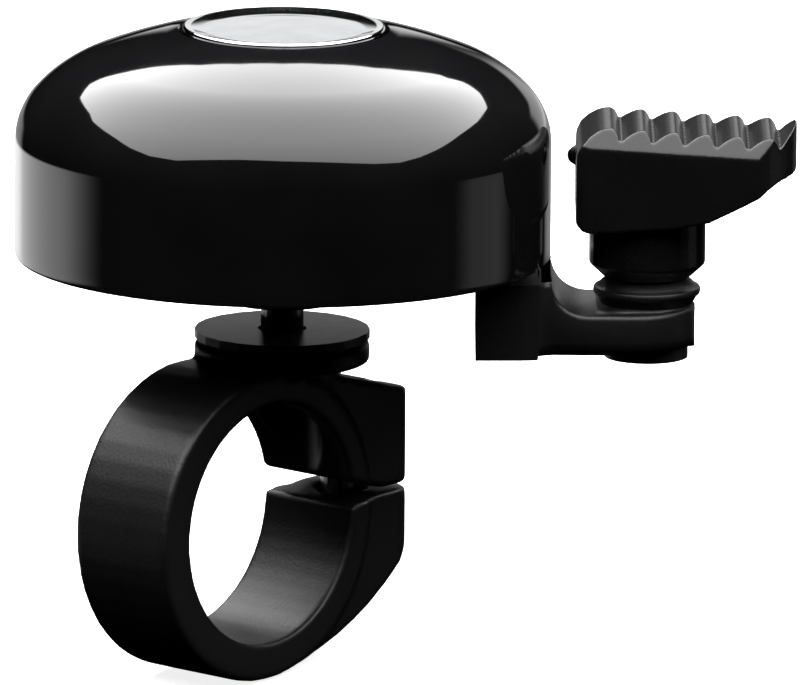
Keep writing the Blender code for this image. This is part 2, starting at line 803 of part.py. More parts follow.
def soften_belly(obj, side):
    """Rounds the lever's two lower edges, from the inner corner to the end face."""
    mesh = obj.data
    weights = mesh.attributes.new("bevel_weight_edge", "FLOAT", "EDGE")
    highest = LEVER_BOTTOM_Z + END_FACE_HEIGHT - lever_pivot_z()
    for edge in mesh.edges:
        a, b = (mesh.vertices[i].co for i in edge.vertices)
        along = abs(a.y - b.y) < 0.1 * MM
        on_face = abs(abs(a.y) - side) < 0.1 * MM
        level = abs(a.z - b.z) < abs(a.x - b.x) * 2
        if along and on_face and level and max(a.z, b.z) < highest:
            weights.data[edge.index].value = 1.0
    bevel = obj.modifiers.new("round_edges", "BEVEL")
    bevel.width = LEVER_EDGE_R
    bevel.segments = 3
    bevel.limit_method = "WEIGHT"


def collar_profile():
    """The collar's chamfer runs on a little into the dish, which then trims it to an edge."""
    high = LEVER_BOTTOM_Z + 3.0 * MM - lever_pivot_z()
    chamfer = COLLAR_CHAMFER_Z - lever_pivot_z()
    neck = math.sqrt((BALL_R + SEAT_GAP) ** 2 - COLLAR_NECK_R**2)
    low_r = COLLAR_NECK_R - (COLLAR_R - COLLAR_NECK_R) / 4
    low_z = neck - (chamfer - neck) / 4
    return [(0.0, high), (COLLAR_R, high), (COLLAR_R, chamfer), (low_r, low_z), (0.0, low_z)]


def cavity_profile():
    """The spring's space in the lever, flared at its mouth, with the core pin's hole above."""
    top = spring_top() + SEAT_GAP - lever_pivot_z()
    mouth = BALL_R
    return [
        (0.0, top + CORE_PIN_GRIP + SEAT_GAP),
        (CORE_R + FIT_GAP, top + CORE_PIN_GRIP + SEAT_GAP),
        (CORE_R + FIT_GAP, top),
        (SPRING_BORE_R, top),
        (SPRING_BORE_R, mouth + 2.5 * MM),
        (BALL_BORE_FLARE_R, mouth + 0.6 * MM),
        (BALL_BORE_FLARE_R, mouth - OVERCUT),
        (0.0, mouth - OVERCUT),
    ]


def spring_top():
    return spring_low() + SPRING_LENGTH - SPRING_WIRE_R


def dish_profile():
    """The hollow under the collar, which follows the ball."""
    radius = BALL_R + SEAT_GAP
    profile = arc(0.0, 0.0, radius, math.pi / 2, math.radians(20.0), 10)
    return profile + [(0.0, profile[-1][1])]


def striker_tip_x():
    return DOME_R + STRIKER_GAP


def make_striker_hole(parent):
    hole = cylinder("striker_hole", STRIKER_R + FIT_GAP, -STRIKER_LENGTH, STRIKER_LENGTH + SEAT_GAP, parent)
    hole.rotation_euler = (0.0, math.pi / 2, 0.0)
    hole.location = (striker_tip_x() - LEVER_X, 0.0, STRIKER_Z - lever_pivot_z())
    return hole


def make_striker(parent, finish):
    """The steel pin whose rounded end strikes the dome."""
    tip = 0.75 * MM
    profile = [
        (0.0, STRIKER_LENGTH),
        (STRIKER_R, STRIKER_LENGTH),
        (STRIKER_R, tip),
        (STRIKER_R * 0.75, tip * 0.5),
        (STRIKER_R * 0.45, tip * 0.13),
        (0.0, 0.0),
    ]
    pin = turned("striker_pin", profile, parent, finish, SMALL_STEPS)
    pin.rotation_euler = (0.0, math.pi / 2, 0.0)
    pin.location = (striker_tip_x() - LEVER_X, 0.0, STRIKER_Z - lever_pivot_z())
    return pin


def make_core_pin(parent, finish):
    """The pin that fills the spring's upper coils and grips the lever above them."""
    high = spring_top() + SEAT_GAP + CORE_PIN_GRIP - lever_pivot_z()
    return cylinder("spring_core_pin", CORE_R, high - CORE_PIN_LENGTH, high, parent, finish=finish)


# The clamp, in the part's own frame


def lug_belly(x):
    """The height of the sweep under the lower lug."""
    centre = LUG_BELLY_R - RING_R
    return centre - math.sqrt(LUG_BELLY_R**2 - (x - LUG_BELLY_X) ** 2)


def lug_outline():
    belly = [LUG_BELLY_X + (LUG_END_X - LUG_BELLY_X) * i / 10 for i in range(11)]
    points = [(x, lug_belly(x)) for x in belly]
    inner = BELL_X + SEAT_R * 0.3
    points += [(LUG_END_X, LUG_TOP_OUTER_Z), (inner, LUG_TOP_INNER_Z), (LUG_BELLY_X, LUG_TOP_INNER_Z)]
    return points


def lug_plan():
    """The lugs seen from above, with the two round corners at their ends."""
    corner = LUG_CORNER_R
    far = LUG_END_X - corner
    side = LUG_HALF_WIDTH - corner
    start = LUG_BELLY_X - OVERCUT
    points = [(start, -LUG_HALF_WIDTH)]
    points += arc(far, -side, corner, -math.pi / 2, 0.0, 6)
    points += arc(far, side, corner, 0.0, math.pi / 2, 6)
    points += [(start, LUG_HALF_WIDTH)]
    return points


def washer_seat_z():
    """The roof of the counterbore under the lower lug, where the washer bears."""
    return SLIT_Z - SLIT_HEIGHT / 2 - LOWER_LUG_THICKNESS


def make_clamp_strap(finish):
    circle = arc(-RING_OFFSET, -RING_DROP, RING_R, 0.0, 2 * math.pi * (1 - 1 / STEPS), STEPS - 1)
    strap = plate("clamp_strap", circle, RING_HALF_WIDTH, None, finish, upright=True)
    lugs = plate("lugs", lug_outline(), LUG_HALF_WIDTH + OVERCUT, None, upright=True)
    combine(lugs, plate("lug_plan", lug_plan(), RING_R * 2, None), "INTERSECT")
    combine(strap, lugs, "UNION")
    at = (BELL_X, 0.0)
    seat_low = clamp_seat_z() - SEAT_HEIGHT
    neck_high = seat_low + OVERCUT
    neck = cylinder("seat_neck", SEAT_NECK_R, BAR_BORE_R * 0.8, neck_high, None, at, STEPS)
    combine(strap, neck, "UNION")
    combine(strap, cylinder("seat", SEAT_R, seat_low, clamp_seat_z(), None, at, STEPS), "UNION")
    bore = cylinder("bar_bore", BAR_BORE_R, -RING_R, RING_R, None, steps=STEPS)
    bore.rotation_euler = (math.pi / 2, 0.0, 0.0)
    combine(strap, bore, "DIFFERENCE")
    combine(strap, make_slit(), "DIFFERENCE")
    bolt_hole = cylinder("bolt_hole", BOLT_R + FIT_GAP, 0.0, clamp_seat_z() + OVERCUT, None, at)
    combine(strap, bolt_hole, "DIFFERENCE")
    wave_top = dome_edge_z() + wave_washer_low() + 2 * WAVE_HEIGHT + WAVE_WASHER_THICKNESS
    head_r = BOLT_HEAD_R + FIT_GAP
    pocket = cylinder("bolt_head_pocket", head_r, 0.0, wave_top + SEAT_GAP, None, at, STEPS)
    combine(strap, pocket, "DIFFERENCE")
    screw_at = (SCREW_X, 0.0)
    shank = cylinder("screw_hole", SCREW_R + FIT_GAP, -RING_R, RING_R, None, screw_at)
    combine(strap, shank, "DIFFERENCE")
    room_r = CLAMP_WASHER_R + FIT_GAP
    head = cylinder("screw_counterbore", room_r, -RING_R * 2, washer_seat_z(), None, screw_at)
    combine(strap, head, "DIFFERENCE")
    points = [(SCREW_X + x, y) for x, y in hexagon(CLAMP_NUT_AF + 2 * FIT_GAP)]
    pocket = plate("nut_pocket", points, RING_R, None)
    pocket.data.transform(Matrix.Translation((0.0, 0.0, NUT_POCKET_FLOOR_Z + RING_R)))
    combine(strap, pocket, "DIFFERENCE")
    return strap


def make_slit():
    """The cut between the lugs, which opens into a V at the bore."""
    half = SLIT_HEIGHT / 2
    lower = math.sqrt(BAR_BORE_R**2 - NOTCH_LOW_Z**2)
    upper = math.sqrt(BAR_BORE_R**2 - NOTCH_HIGH_Z**2)
    outline = [
        (lower - OVERCUT, NOTCH_LOW_Z),
        (lower, NOTCH_LOW_Z),
        (lower + NOTCH_DEPTH, SLIT_Z - half),
        (LUG_END_X + OVERCUT, SLIT_Z - half),
        (LUG_END_X + OVERCUT, SLIT_Z + half),
        (lower + NOTCH_DEPTH, SLIT_Z + half),
        (upper, NOTCH_HIGH_Z),
        (upper - OVERCUT, NOTCH_HIGH_Z),
    ]
    return plate("slit", outline, RING_HALF_WIDTH + OVERCUT, None, upright=True)


def make_clamp_screw(finish):
    washer_low = washer_seat_z() - SEAT_GAP - CLAMP_WASHER_THICKNESS
    head_top = washer_low - SEAT_GAP
    head_low = head_top - SCREW_HEAD_HEIGHT
    high = NUT_POCKET_FLOOR_Z + SEAT_GAP + CLAMP_NUT_HEIGHT
    profile = [
        (0.0, high),
        (SCREW_R, high),
        (SCREW_R, head_top),
        (SCREW_HEAD_R, head_top),
        (SCREW_HEAD_R, head_low),
        (0.0, head_low),
    ]
    axis = new_empty("clamp_screw_axis", None, (SCREW_X, 0.0, 0.0))
    screw = turned("clamp_screw", profile, axis, finish, SMALL_STEPS)
    socket = plate("screw_socket", hexagon(SCREW_SOCKET_AF), SCREW_HEAD_HEIGHT * 0.6, axis)
    socket.data.transform(Matrix.Translation((0.0, 0.0, head_low)))
    combine(screw, socket, "DIFFERENCE")
    inner = SCREW_R + FIT_GAP
    thickness = CLAMP_WASHER_THICKNESS
    washer("clamp_washer", inner, CLAMP_WASHER_R, washer_low, thickness, axis, finish)


def make_clamp_nut(finish):
    low = NUT_POCKET_FLOOR_Z + SEAT_GAP
    nut("clamp_nut", CLAMP_NUT_AF, SCREW_R + FIT_GAP, low, CLAMP_NUT_HEIGHT, None, finish, SCREW_X)


def shade(obj):
    if obj.type == "MESH" and not obj.hide_render:
        obj.data.shade_smooth()
        obj.data.set_sharp_from_angle(angle=math.radians(35.0))


def main():
    global parts, cutters
    clear_scene()
    parts = new_collection("bicycle_bell")
    cutters = new_collection("cutters")
    cutters.hide_render = True

    paint = material("gloss_black_paint", (0.008, 0.008, 0.008), 0.08, 0.0)
    chrome = material("chrome_plate", (0.8, 0.8, 0.82), 0.06, 1.0)
    nylon = material("black_nylon", (0.012, 0.012, 0.012), 0.45, 0.0)
    zinc = material("zinc_plated_steel", (0.55, 0.56, 0.58), 0.3, 1.0)
    blackened = material("blackened_steel", (0.02, 0.02, 0.022), 0.3, 1.0)
    rubber = material("black_rubber", (0.02, 0.02, 0.02), 0.8, 0.0)
    acetal = material("white_acetal", (0.75, 0.75, 0.72), 0.4, 0.0)

    make_clamp_strap(nylon)
    make_clamp_screw(zinc)
    make_clamp_nut(zinc)

    bell = new_empty("bell_axis", None, (BELL_X, 0.0, dome_edge_z()), BELL_TURN)
    make_center_bolt(bell, zinc)
    make_wave_washer(bell, zinc)
    inner = BOLT_R + FIT_GAP
    washer("friction_washer", inner, SEAT_R, friction_washer_low(), FRICTION_WASHER_THICKNESS, bell, acetal)
    make_base(bell, nylon)
    washer("base_washer", inner, BASE_WASHER_R, base_washer_low(), BASE_WASHER_THICKNESS, bell, zinc)
    make_lock_washer(bell, zinc)
    nut("base_nut", BASE_NUT_AF, inner, base_nut_low(), BASE_NUT_HEIGHT, bell, zinc)
    washer("spacer_tube", inner, SPACER_R, spacer_low(), spacer_top() - spacer_low(), bell, zinc)
    low = dome_washer_top() - DOME_WASHER_THICKNESS
    washer("dome_washer", inner, DOME_WASHER_R, low, DOME_WASHER_THICKNESS, bell, rubber)
    make_dome(bell, paint)
    make_cap_nut(bell, chrome)
    make_spring_retainer(bell, zinc)

    pivot = new_empty("lever_pivot", bell, (LEVER_X, 0.0, lever_pivot_z()))
    make_spring(pivot, zinc)
    make_lever(pivot, nylon)
    make_striker(pivot, blackened)
    make_core_pin(pivot, zinc)

    bpy.context.view_layer.update()
    for obj in parts.objects:
        shade(obj)


main()
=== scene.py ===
# %% [markdown]
# # A bicycle bell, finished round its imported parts
# The bell's sizes and joints are already fixed, so this lesson only makes its looks.
# It loads the parts, models smoother shells for the ones that show most, gives every part
# a finish, and sets up a small studio. All places come from the loaded parts and joints.

# %% Load the parts
import json
import math

import bmesh
import bpy
from mathutils import Matrix, Vector


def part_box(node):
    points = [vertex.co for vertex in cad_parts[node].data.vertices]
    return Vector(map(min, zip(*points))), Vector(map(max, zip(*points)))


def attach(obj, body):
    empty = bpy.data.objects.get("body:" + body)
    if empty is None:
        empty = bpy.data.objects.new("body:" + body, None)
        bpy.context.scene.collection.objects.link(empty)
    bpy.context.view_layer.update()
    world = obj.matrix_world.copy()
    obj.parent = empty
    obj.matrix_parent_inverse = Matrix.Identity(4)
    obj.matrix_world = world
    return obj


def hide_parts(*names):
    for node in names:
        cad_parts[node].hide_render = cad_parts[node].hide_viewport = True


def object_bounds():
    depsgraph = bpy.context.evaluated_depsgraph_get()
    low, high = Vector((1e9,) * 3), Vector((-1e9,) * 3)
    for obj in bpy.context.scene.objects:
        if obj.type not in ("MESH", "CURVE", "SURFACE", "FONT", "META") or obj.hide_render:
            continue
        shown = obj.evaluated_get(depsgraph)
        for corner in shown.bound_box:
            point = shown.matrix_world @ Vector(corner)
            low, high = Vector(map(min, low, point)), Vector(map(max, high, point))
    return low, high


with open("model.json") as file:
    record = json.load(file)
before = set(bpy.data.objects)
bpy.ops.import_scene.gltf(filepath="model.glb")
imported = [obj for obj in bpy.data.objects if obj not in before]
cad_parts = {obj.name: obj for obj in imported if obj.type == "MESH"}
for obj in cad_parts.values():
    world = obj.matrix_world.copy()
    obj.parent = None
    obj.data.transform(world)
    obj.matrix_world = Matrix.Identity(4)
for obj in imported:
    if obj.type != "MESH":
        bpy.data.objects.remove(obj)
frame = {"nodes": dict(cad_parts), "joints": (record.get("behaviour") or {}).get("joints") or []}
cad_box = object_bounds()

# %% [markdown]
# The bell turns on the clamp about an upright axis, and the lever rocks about a ball on an
# arm. Those two joints give the bell's own axes: the middle of the dome, and the way the
# arm points. Working in millimetres from the dome's lower edge keeps the numbers readable,
# and one matrix moves a finished mesh to its place.

# %% The bell's own axes
MM = 0.001


def joint(name):
    return next(j for j in frame["joints"] if j["name"] == name)


swivel = Vector(joint("bell_swivel")["pos_m"])
pivot = Vector(joint("lever_tilt")["pos_m"])
arm_turn = math.atan2(pivot.y - swivel.y, pivot.x - swivel.x)
dome_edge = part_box("dome")[0].z
IN_BELL = Matrix.Translation((swivel.x, swivel.y, dome_edge)) @ Matrix.Rotation(arm_turn, 4, "Z")
PIVOT_X = math.hypot(pivot.x - swivel.x, pivot.y - swivel.y) / MM
PIVOT_Z = (pivot.z - dome_edge) / MM
print("arm turned", round(math.degrees(arm_turn), 1), "degrees, pivot at", round(PIVOT_X, 2), round(PIVOT_Z, 2))

# %% [markdown]
# The camera looks a little down on the bell, square to the arm, from a metre and a half
# away through a long lens, so that the dome keeps its true outline. It's placed in the
# bell's axes and carried over with the same matrix.

# %% Camera
camera_at = Vector((11.004846, -1500.0, 309.127306)) * MM
pitch = 0.208581297
roll = 0.006792853
forward = Vector((0.0, math.cos(pitch), -math.sin(pitch)))
level_up = Vector((0.0, math.sin(pitch), math.cos(pitch)))
level_right = Vector((1.0, 0.0, 0.0))
right = level_right * math.cos(roll) + level_up * math.sin(roll)
up = level_up * math.cos(roll) - level_right * math.sin(roll)
facing = Matrix((right, up, -forward)).transposed().to_4x4()
camera_data = bpy.data.cameras.new("camera")
camera_data.sensor_width = 36.0
camera_data.lens = 738.769
camera_data.clip_start = 0.1
camera_data.clip_end = 20.0
camera = bpy.data.objects.new("camera", camera_data)
bpy.context.scene.collection.objects.link(camera)
camera.matrix_world = IN_BELL @ Matrix.Translation(camera_at) @ facing
bpy.context.scene.camera = camera
print("camera at", [round(v, 3) for v in camera.matrix_world.translation])

# %% [markdown]
# A material is a graph of nodes. One helper adds a node, sets its values and links its
# inputs, and another turns an sRGB hex colour, as a paint chart gives it, into the linear
# numbers that the shader wants.

# %% Material helpers


def linear(hex_colour):
    values = [int(hex_colour[i : i + 2], 16) / 255 for i in (1, 3, 5)]
    return [v / 12.92 if v <= 0.04045 else ((v + 0.055) / 1.055) ** 2.4 for v in values] + [1.0]


def add_node(tree, kind, settings=None, values=None, links=None):
    """Adds a node: settings are its own fields, values its sockets' numbers, links what feeds them."""
    node = tree.nodes.new(kind)
    for name, value in (settings or {}).items():
        setattr(node, name, value)
    for name, value in (values or {}).items():
        node.inputs[name].default_value = value
    for name, source in (links or {}).items():
        tree.links.new(source, node.inputs[name])
    return node


def new_material(name, constants):
    """A Principled material and its Object coordinates, ready for patterns."""
    made = bpy.data.materials.new(name)
    made.use_nodes = True
    tree = made.node_tree
    shader = tree.nodes["Principled BSDF"]
    for socket, value in constants.items():
        shader.inputs[socket].default_value = value
    place = add_node(tree, "ShaderNodeTexCoord")
    return made, tree, shader, place.outputs["Object"]


def ramp(tree, source, stops):
    """A colour ramp with the given (position, sRGB hex) stops."""
    node = add_node(tree, "ShaderNodeValToRGB", links={"Fac": source})
    band = node.color_ramp
    while len(band.elements) < len(stops):
        band.elements.new(0.5)
    for element, (position, colour) in zip(band.elements, stops):
        element.position = position
        element.color = linear(colour)
    return node.outputs["Color"]


def spread(tree, source, low, high):
    """Maps a pattern's 0 to 1 onto a range, such as a roughness."""
    node = add_node(tree, "ShaderNodeMapRange", values={"To Min": low, "To Max": high}, links={"Value": source})
    return node.outputs["Result"]


def noise(tree, where, size_mm, detail=2.0):
    """A noise whose blobs are about size_mm across."""
    values = {"Scale": 1.0 / (size_mm * MM), "Detail": detail}
    return add_node(tree, "ShaderNodeTexNoise", values=values, links={"Vector": where}).outputs["Fac"]


# %% [markdown]
# **Gloss black enamel.** The dome is a spun steel cup, sprayed and baked with black enamel.
# Its film is hard and mirror smooth, so the eye sees the lights in it far more than its
# colour. A very long, shallow swell gives the slight waver of sprayed paint, and faint
# wiping marks vary the gloss.

# %% Enamel
enamel, tree, shader, where = new_material(
    "gloss_black_enamel", {"Metallic": 0.0, "IOR": 1.5, "Coat Weight": 0.35, "Coat Roughness": 0.02, "Coat IOR": 1.5}
)
clouds = noise(tree, where, 9.0)
tree.links.new(ramp(tree, clouds, [(0.3, "#0d0d0e"), (0.7, "#121213")]), shader.inputs["Base Color"])
wiped = noise(tree, where, 1.4, 4.0)
tree.links.new(spread(tree, wiped, 0.035, 0.065), shader.inputs["Roughness"])
swell = noise(tree, where, 6.0, 0.0)
bump = add_node(
    tree, "ShaderNodeBump", values={"Strength": 0.25, "Distance": 0.02 * MM}, links={"Height": swell}
)
tree.links.new(bump.outputs["Normal"], shader.inputs["Normal"])
print("made", enamel.name)

# %% [markdown]
# **Chrome plate.** The cap is a turned brass nut, polished and plated. Chrome mirrors
# nearly all the light with a cool tint. Polishing on a lathe leaves rings about a tenth of
# a millimetre apart, which only soften the mirror a little.

# %% Chrome
chrome, tree, shader, where = new_material("polished_chrome_plate", {"Metallic": 1.0})
cloud = noise(tree, where, 3.0)
tree.links.new(ramp(tree, cloud, [(0.3, "#d9dadd"), (0.7, "#e6e7e9")]), shader.inputs["Base Color"])
centred = add_node(
    tree,
    "ShaderNodeMapping",
    values={"Location": (-swivel.x, -swivel.y, 0.0)},
    links={"Vector": where},
).outputs["Vector"]
rings = add_node(
    tree,
    "ShaderNodeTexWave",
    {"wave_type": "RINGS", "rings_direction": "Z"},
    {"Scale": 0.3142 / (0.25 * MM), "Distortion": 0.6, "Detail": 2.0},
    {"Vector": centred},
).outputs["Fac"]
tree.links.new(spread(tree, rings, 0.05, 0.11), shader.inputs["Roughness"])
bump = add_node(
    tree, "ShaderNodeBump", values={"Strength": 0.15, "Distance": 0.002 * MM}, links={"Height": rings}
)
tree.links.new(bump.outputs["Normal"], shader.inputs["Normal"])
print("made", chrome.name)

# %% [markdown]
# **Moulded black nylon.** The tray, arm and clamp are moulded in nylon with glass fibre,
# in a tool whose walls were eaten by sparks. That leaves a fine even grain, about a quarter
# of a millimetre across, which breaks every highlight into a soft sparkle. The same recipe
# with a finer, shallower grain makes the smoother lever.

# %% Nylon


def moulded_nylon(name, grain_mm, depth_mm, low, high, dark, pale):
    made, tree, shader, where = new_material(name, {"Metallic": 0.0, "IOR": 1.53})
    flow = noise(tree, where, 7.0, 3.0)
    tree.links.new(ramp(tree, flow, [(0.3, dark), (0.7, pale)]), shader.inputs["Base Color"])
    grain = noise(tree, where, grain_mm, 3.0)
    tree.links.new(spread(tree, grain, low, high), shader.inputs["Roughness"])
    bump = add_node(
        tree, "ShaderNodeBump", values={"Strength": 0.6, "Distance": depth_mm * MM}, links={"Height": grain}
    )
    tree.links.new(bump.outputs["Normal"], shader.inputs["Normal"])
    print("made", name)
    return made


grained_nylon = moulded_nylon("moulded_black_nylon", 0.28, 0.035, 0.34, 0.5, "#0c0c0c", "#131313")
smooth_nylon = moulded_nylon("smooth_black_nylon", 0.22, 0.012, 0.24, 0.34, "#0c0c0d", "#121212")

# %% [markdown]
# **Small hardware.** Nuts, washers and bolts are zinc plated: a bright steel grey with a
# cloudy blue passivation. The striker is blackened in hot oxide, the spring is oiled spring
# wire, the pad under the dome is rubber, and the swivel's washer is white acetal.

# %% Hardware finishes


def plated(name, dark, pale, cloud_mm, low, high):
    made, tree, shader, where = new_material(name, {"Metallic": 1.0})
    cloud = noise(tree, where, cloud_mm, 4.0)
    tree.links.new(ramp(tree, cloud, [(0.3, dark), (0.7, pale)]), shader.inputs["Base Color"])
    scuffs = noise(tree, where, cloud_mm / 6.0, 4.0)
    tree.links.new(spread(tree, scuffs, low, high), shader.inputs["Roughness"])
    bump = add_node(
        tree, "ShaderNodeBump", values={"Strength": 0.3, "Distance": 0.006 * MM}, links={"Height": scuffs}
    )
    tree.links.new(bump.outputs["Normal"], shader.inputs["Normal"])
    print("made", name)
    return made


def moulded(name, dark, pale, grain_mm, low, high, ior):
    made, tree, shader, where = new_material(name, {"Metallic": 0.0, "IOR": ior})
    cloud = noise(tree, where, grain_mm * 12.0, 3.0)
    tree.links.new(ramp(tree, cloud, [(0.3, dark), (0.7, pale)]), shader.inputs["Base Color"])
    grain = noise(tree, where, grain_mm, 3.0)
    tree.links.new(spread(tree, grain, low, high), shader.inputs["Roughness"])
    bump = add_node(
        tree, "ShaderNodeBump", values={"Strength": 0.4, "Distance": 0.01 * MM}, links={"Height": grain}
    )
    tree.links.new(bump.outputs["Normal"], shader.inputs["Normal"])
    print("made", name)
    return made


zinc = plated("blue_zinc_plated_steel", "#8e949b", "#b4b8bb", 3.0, 0.24, 0.42)
spring_steel = plated("oiled_spring_steel", "#6f7072", "#96989a", 1.5, 0.2, 0.34)
blackened = plated("hot_blackened_steel", "#16171a", "#26272a", 2.0, 0.25, 0.4)
rubber = moulded("black_rubber", "#141414", "#1d1c1b", 0.3, 0.72, 0.9, 1.52)
acetal = moulded("white_acetal", "#d8d6cf", "#e4e2dc", 0.2, 0.32, 0.45, 1.48)

# %% [markdown]
# Every loaded part now gets its finish. Most of the small hardware sits inside the dome
# and the clamp, where it shows only from below, so its own shape is detailed enough.

# %% Finish the loaded parts
FINISHES = {
    "clamp_strap": grained_nylon,
    "base": grained_nylon,
    "thumb_lever": smooth_nylon,
    "dome": enamel,
    "cap_nut": chrome,
    "dome_washer": rubber,
    "friction_washer": acetal,
    "hammer_spring": spring_steel,
    "striker_pin": blackened,
}
for name, node in frame["nodes"].items():
    finish = FINISHES.get(name, zinc)
    if not node.material_slots:
        node.data.materials.append(finish)
    for slot in node.material_slots:
        slot.material = finish
print("finished", len(frame["nodes"]), "loaded parts")

# %% [markdown]
# A turned part is round about one axis, like the cup of the bell. It could be spun from an
# outline, but drawing one circle out ring by ring, as on a lathe, gives clean four-sided
# faces and no seam. Each step extrudes the ring's edges straight up and then scales it to
# its next radius.

# %% Helpers for new pieces
ROUND_STEPS = 192


def deselect():
    bpy.ops.object.select_all(action="DESELECT")


def turned(name, profile, steps=ROUND_STEPS):
    """A solid ring of revolution about Z, from a closed profile of (radius, height) in millimetres."""
    deselect()
    radius, height = profile[0]
    bpy.ops.mesh.primitive_circle_add(vertices=steps, radius=radius * MM, location=(0.0, 0.0, height * MM))
    obj = bpy.context.active_object
    obj.name = obj.data.name = name
    bpy.ops.object.transform_apply(location=True)
    bpy.ops.object.mode_set(mode="EDIT")
    bpy.ops.mesh.select_all(action="SELECT")
    for next_radius, next_height in profile[1:]:
        rise = (0.0, 0.0, (next_height - height) * MM)
        bpy.ops.mesh.extrude_edges_move(TRANSFORM_OT_translate={"value": rise})
        grow = next_radius / radius
        bpy.ops.transform.resize(value=(grow, grow, 1.0), center_override=(0.0, 0.0, next_height * MM))
        radius, height = next_radius, next_height
    bpy.ops.mesh.select_all(action="DESELECT")
    bpy.ops.mesh.select_non_manifold()
    bpy.ops.mesh.bridge_edge_loops()
    bpy.ops.mesh.select_all(action="SELECT")
    bpy.ops.mesh.normals_make_consistent(inside=False)
    bpy.ops.object.mode_set(mode="OBJECT")
    return obj


def smoothed(points, parts=3):
    """A rounder line through the same points, with more of them."""
    rounder = [points[0]]
    for i in range(len(points) - 1):
        before = Vector(points[max(i - 1, 0)])
        a = Vector(points[i])
        b = Vector(points[i + 1])
        after = Vector(points[min(i + 2, len(points) - 1)])
        for step in range(1, parts + 1):
            t = step / parts
            curved = 2 * a + (b - before) * t + (2 * before - 5 * a + 4 * b - after) * t**2
            rounder.append(tuple((curved + (3 * a - before - 3 * b + after) * t**3) / 2))
    return rounder


def arc(cx, cz, radius, start, end, count):
    """Points along an arc, both ends included."""
    angles = [start + (end - start) * i / count for i in range(count + 1)]
    return [(cx + radius * math.cos(a), cz + radius * math.sin(a)) for a in angles]


def finish_piece(obj, finish, body, node, place=IN_BELL, sharp=32.0):
    """Moves the mesh to its place, shades it, ties it to its body, and hides the loaded part it stands in for."""
    obj.data.transform(place)
    deselect()
    obj.select_set(True)
    bpy.context.view_layer.objects.active = obj
    bpy.ops.object.shade_smooth_by_angle(angle=math.radians(sharp))
    obj.data.materials.clear()
    obj.data.materials.append(finish)
    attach(obj, body)
    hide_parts(node)
    print(obj.name, len(obj.data.polygons), "faces")


# %% [markdown]
# **The dome** is spun from sheet about 1.2 mm thick. Its side rises straight, rolls over a
# tight shoulder into a wider haunch, and flattens into a nearly level crown, three arcs that
# meet smoothly. The cap sits in a shallow step at the top. The sheet's lower edge is
# rounded, so it catches a thin line of light.

# %% Dome
DOME_R = 25.0
SHEET = 1.2
WALL_HEIGHT = 10.8
EDGE_ROUND = 0.3
CAP_R = 9.45
CAP_GAP = 0.3
BOSS_HOLE_R = 4.5
ARCS = [(6.9, 43.0, 40), (13.2, 68.4, 28), (55.0, 80.0, 16)]


def dome_side(inset):
    """The sheet's face from the top of the straight wall to the crown, set in by the inset."""
    points = []
    cx, cz, start = DOME_R, WALL_HEIGHT, 0.0
    last = 0.0
    for radius, end_degrees, count in ARCS:
        end = math.radians(end_degrees)
        cx += (last - radius) * math.cos(start)
        cz += (last - radius) * math.sin(start)
        if radius == ARCS[-1][0]:
            end = math.acos((CAP_R + CAP_GAP - cx) / (radius - inset))
        points += arc(cx, cz, radius - inset, start, end, count)[1 if points else 0 :]
        start, last = end, radius
    return points


outer = dome_side(0.0)
inner = dome_side(SHEET)
seat = outer[-1][1] - 0.7
lip = CAP_R + CAP_GAP
profile = arc(DOME_R - EDGE_ROUND, EDGE_ROUND, EDGE_ROUND, -math.pi / 2, 0.0, 5)
profile += [(DOME_R, WALL_HEIGHT * i / 8) for i in range(1, 8)]
profile += outer[:-1]
profile += [(lip + 0.12, outer[-1][1]), (lip, outer[-1][1] - 0.12), (lip, seat), (BOSS_HOLE_R, seat)]
profile += [(BOSS_HOLE_R, seat - SHEET), (lip - SHEET, seat - SHEET)]
profile += [p for p in reversed(inner) if p[0] > lip and p[1] < seat - SHEET]
profile += [(DOME_R - SHEET, EDGE_ROUND)]
profile += arc(DOME_R - SHEET + EDGE_ROUND, EDGE_ROUND, EDGE_ROUND, math.pi, 1.5 * math.pi, 5)[1:]
dome = turned("dome_shell", profile)
finish_piece(dome, enamel, "bell", "dome")

# %% [markdown]
# ** The cap** is a broad, shallow dish with a bright rounded rim. The middle of the dish
# rises a little. Underneath, a short boss carries its thread down through the dome. The
# turned ring stops a tiny way short of the centre, where its top and bottom circles are bridged.

# %% Cap
cap_low, cap_high = (v.z / MM for v in (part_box("cap_nut")[0] - Vector((0, 0, dome_edge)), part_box("cap_nut")[1] - Vector((0, 0, dome_edge))))
cap_seat = cap_high - 0.75
DISH = 0.35
DISH_R = 7.2
PIN = 0.02
profile = [(PIN, cap_high - DISH + 0.15), (0.5, cap_high - DISH + 0.15)]
profile += [(DISH_R * i / 12, cap_high - DISH + 0.15 * (1 - (i / 12) ** 2)) for i in range(2, 12)]
profile += [(DISH_R, cap_high - DISH), (DISH_R + 0.25, cap_high - DISH + 0.02), (DISH_R + 0.5, cap_high - DISH + 0.07)]
profile += [(CAP_R - 0.85, cap_high - 0.09), (CAP_R - 0.6, cap_high - 0.01)]
profile += arc(CAP_R - 0.3, cap_high - 0.3, 0.3, math.radians(110.0), 0.0, 8)
profile += [(CAP_R, cap_seat), (4.2, cap_seat), (4.2, cap_low), (PIN, cap_low)]
cap = turned("cap_shell", profile)
finish_piece(cap, chrome, "bell", "cap_nut")
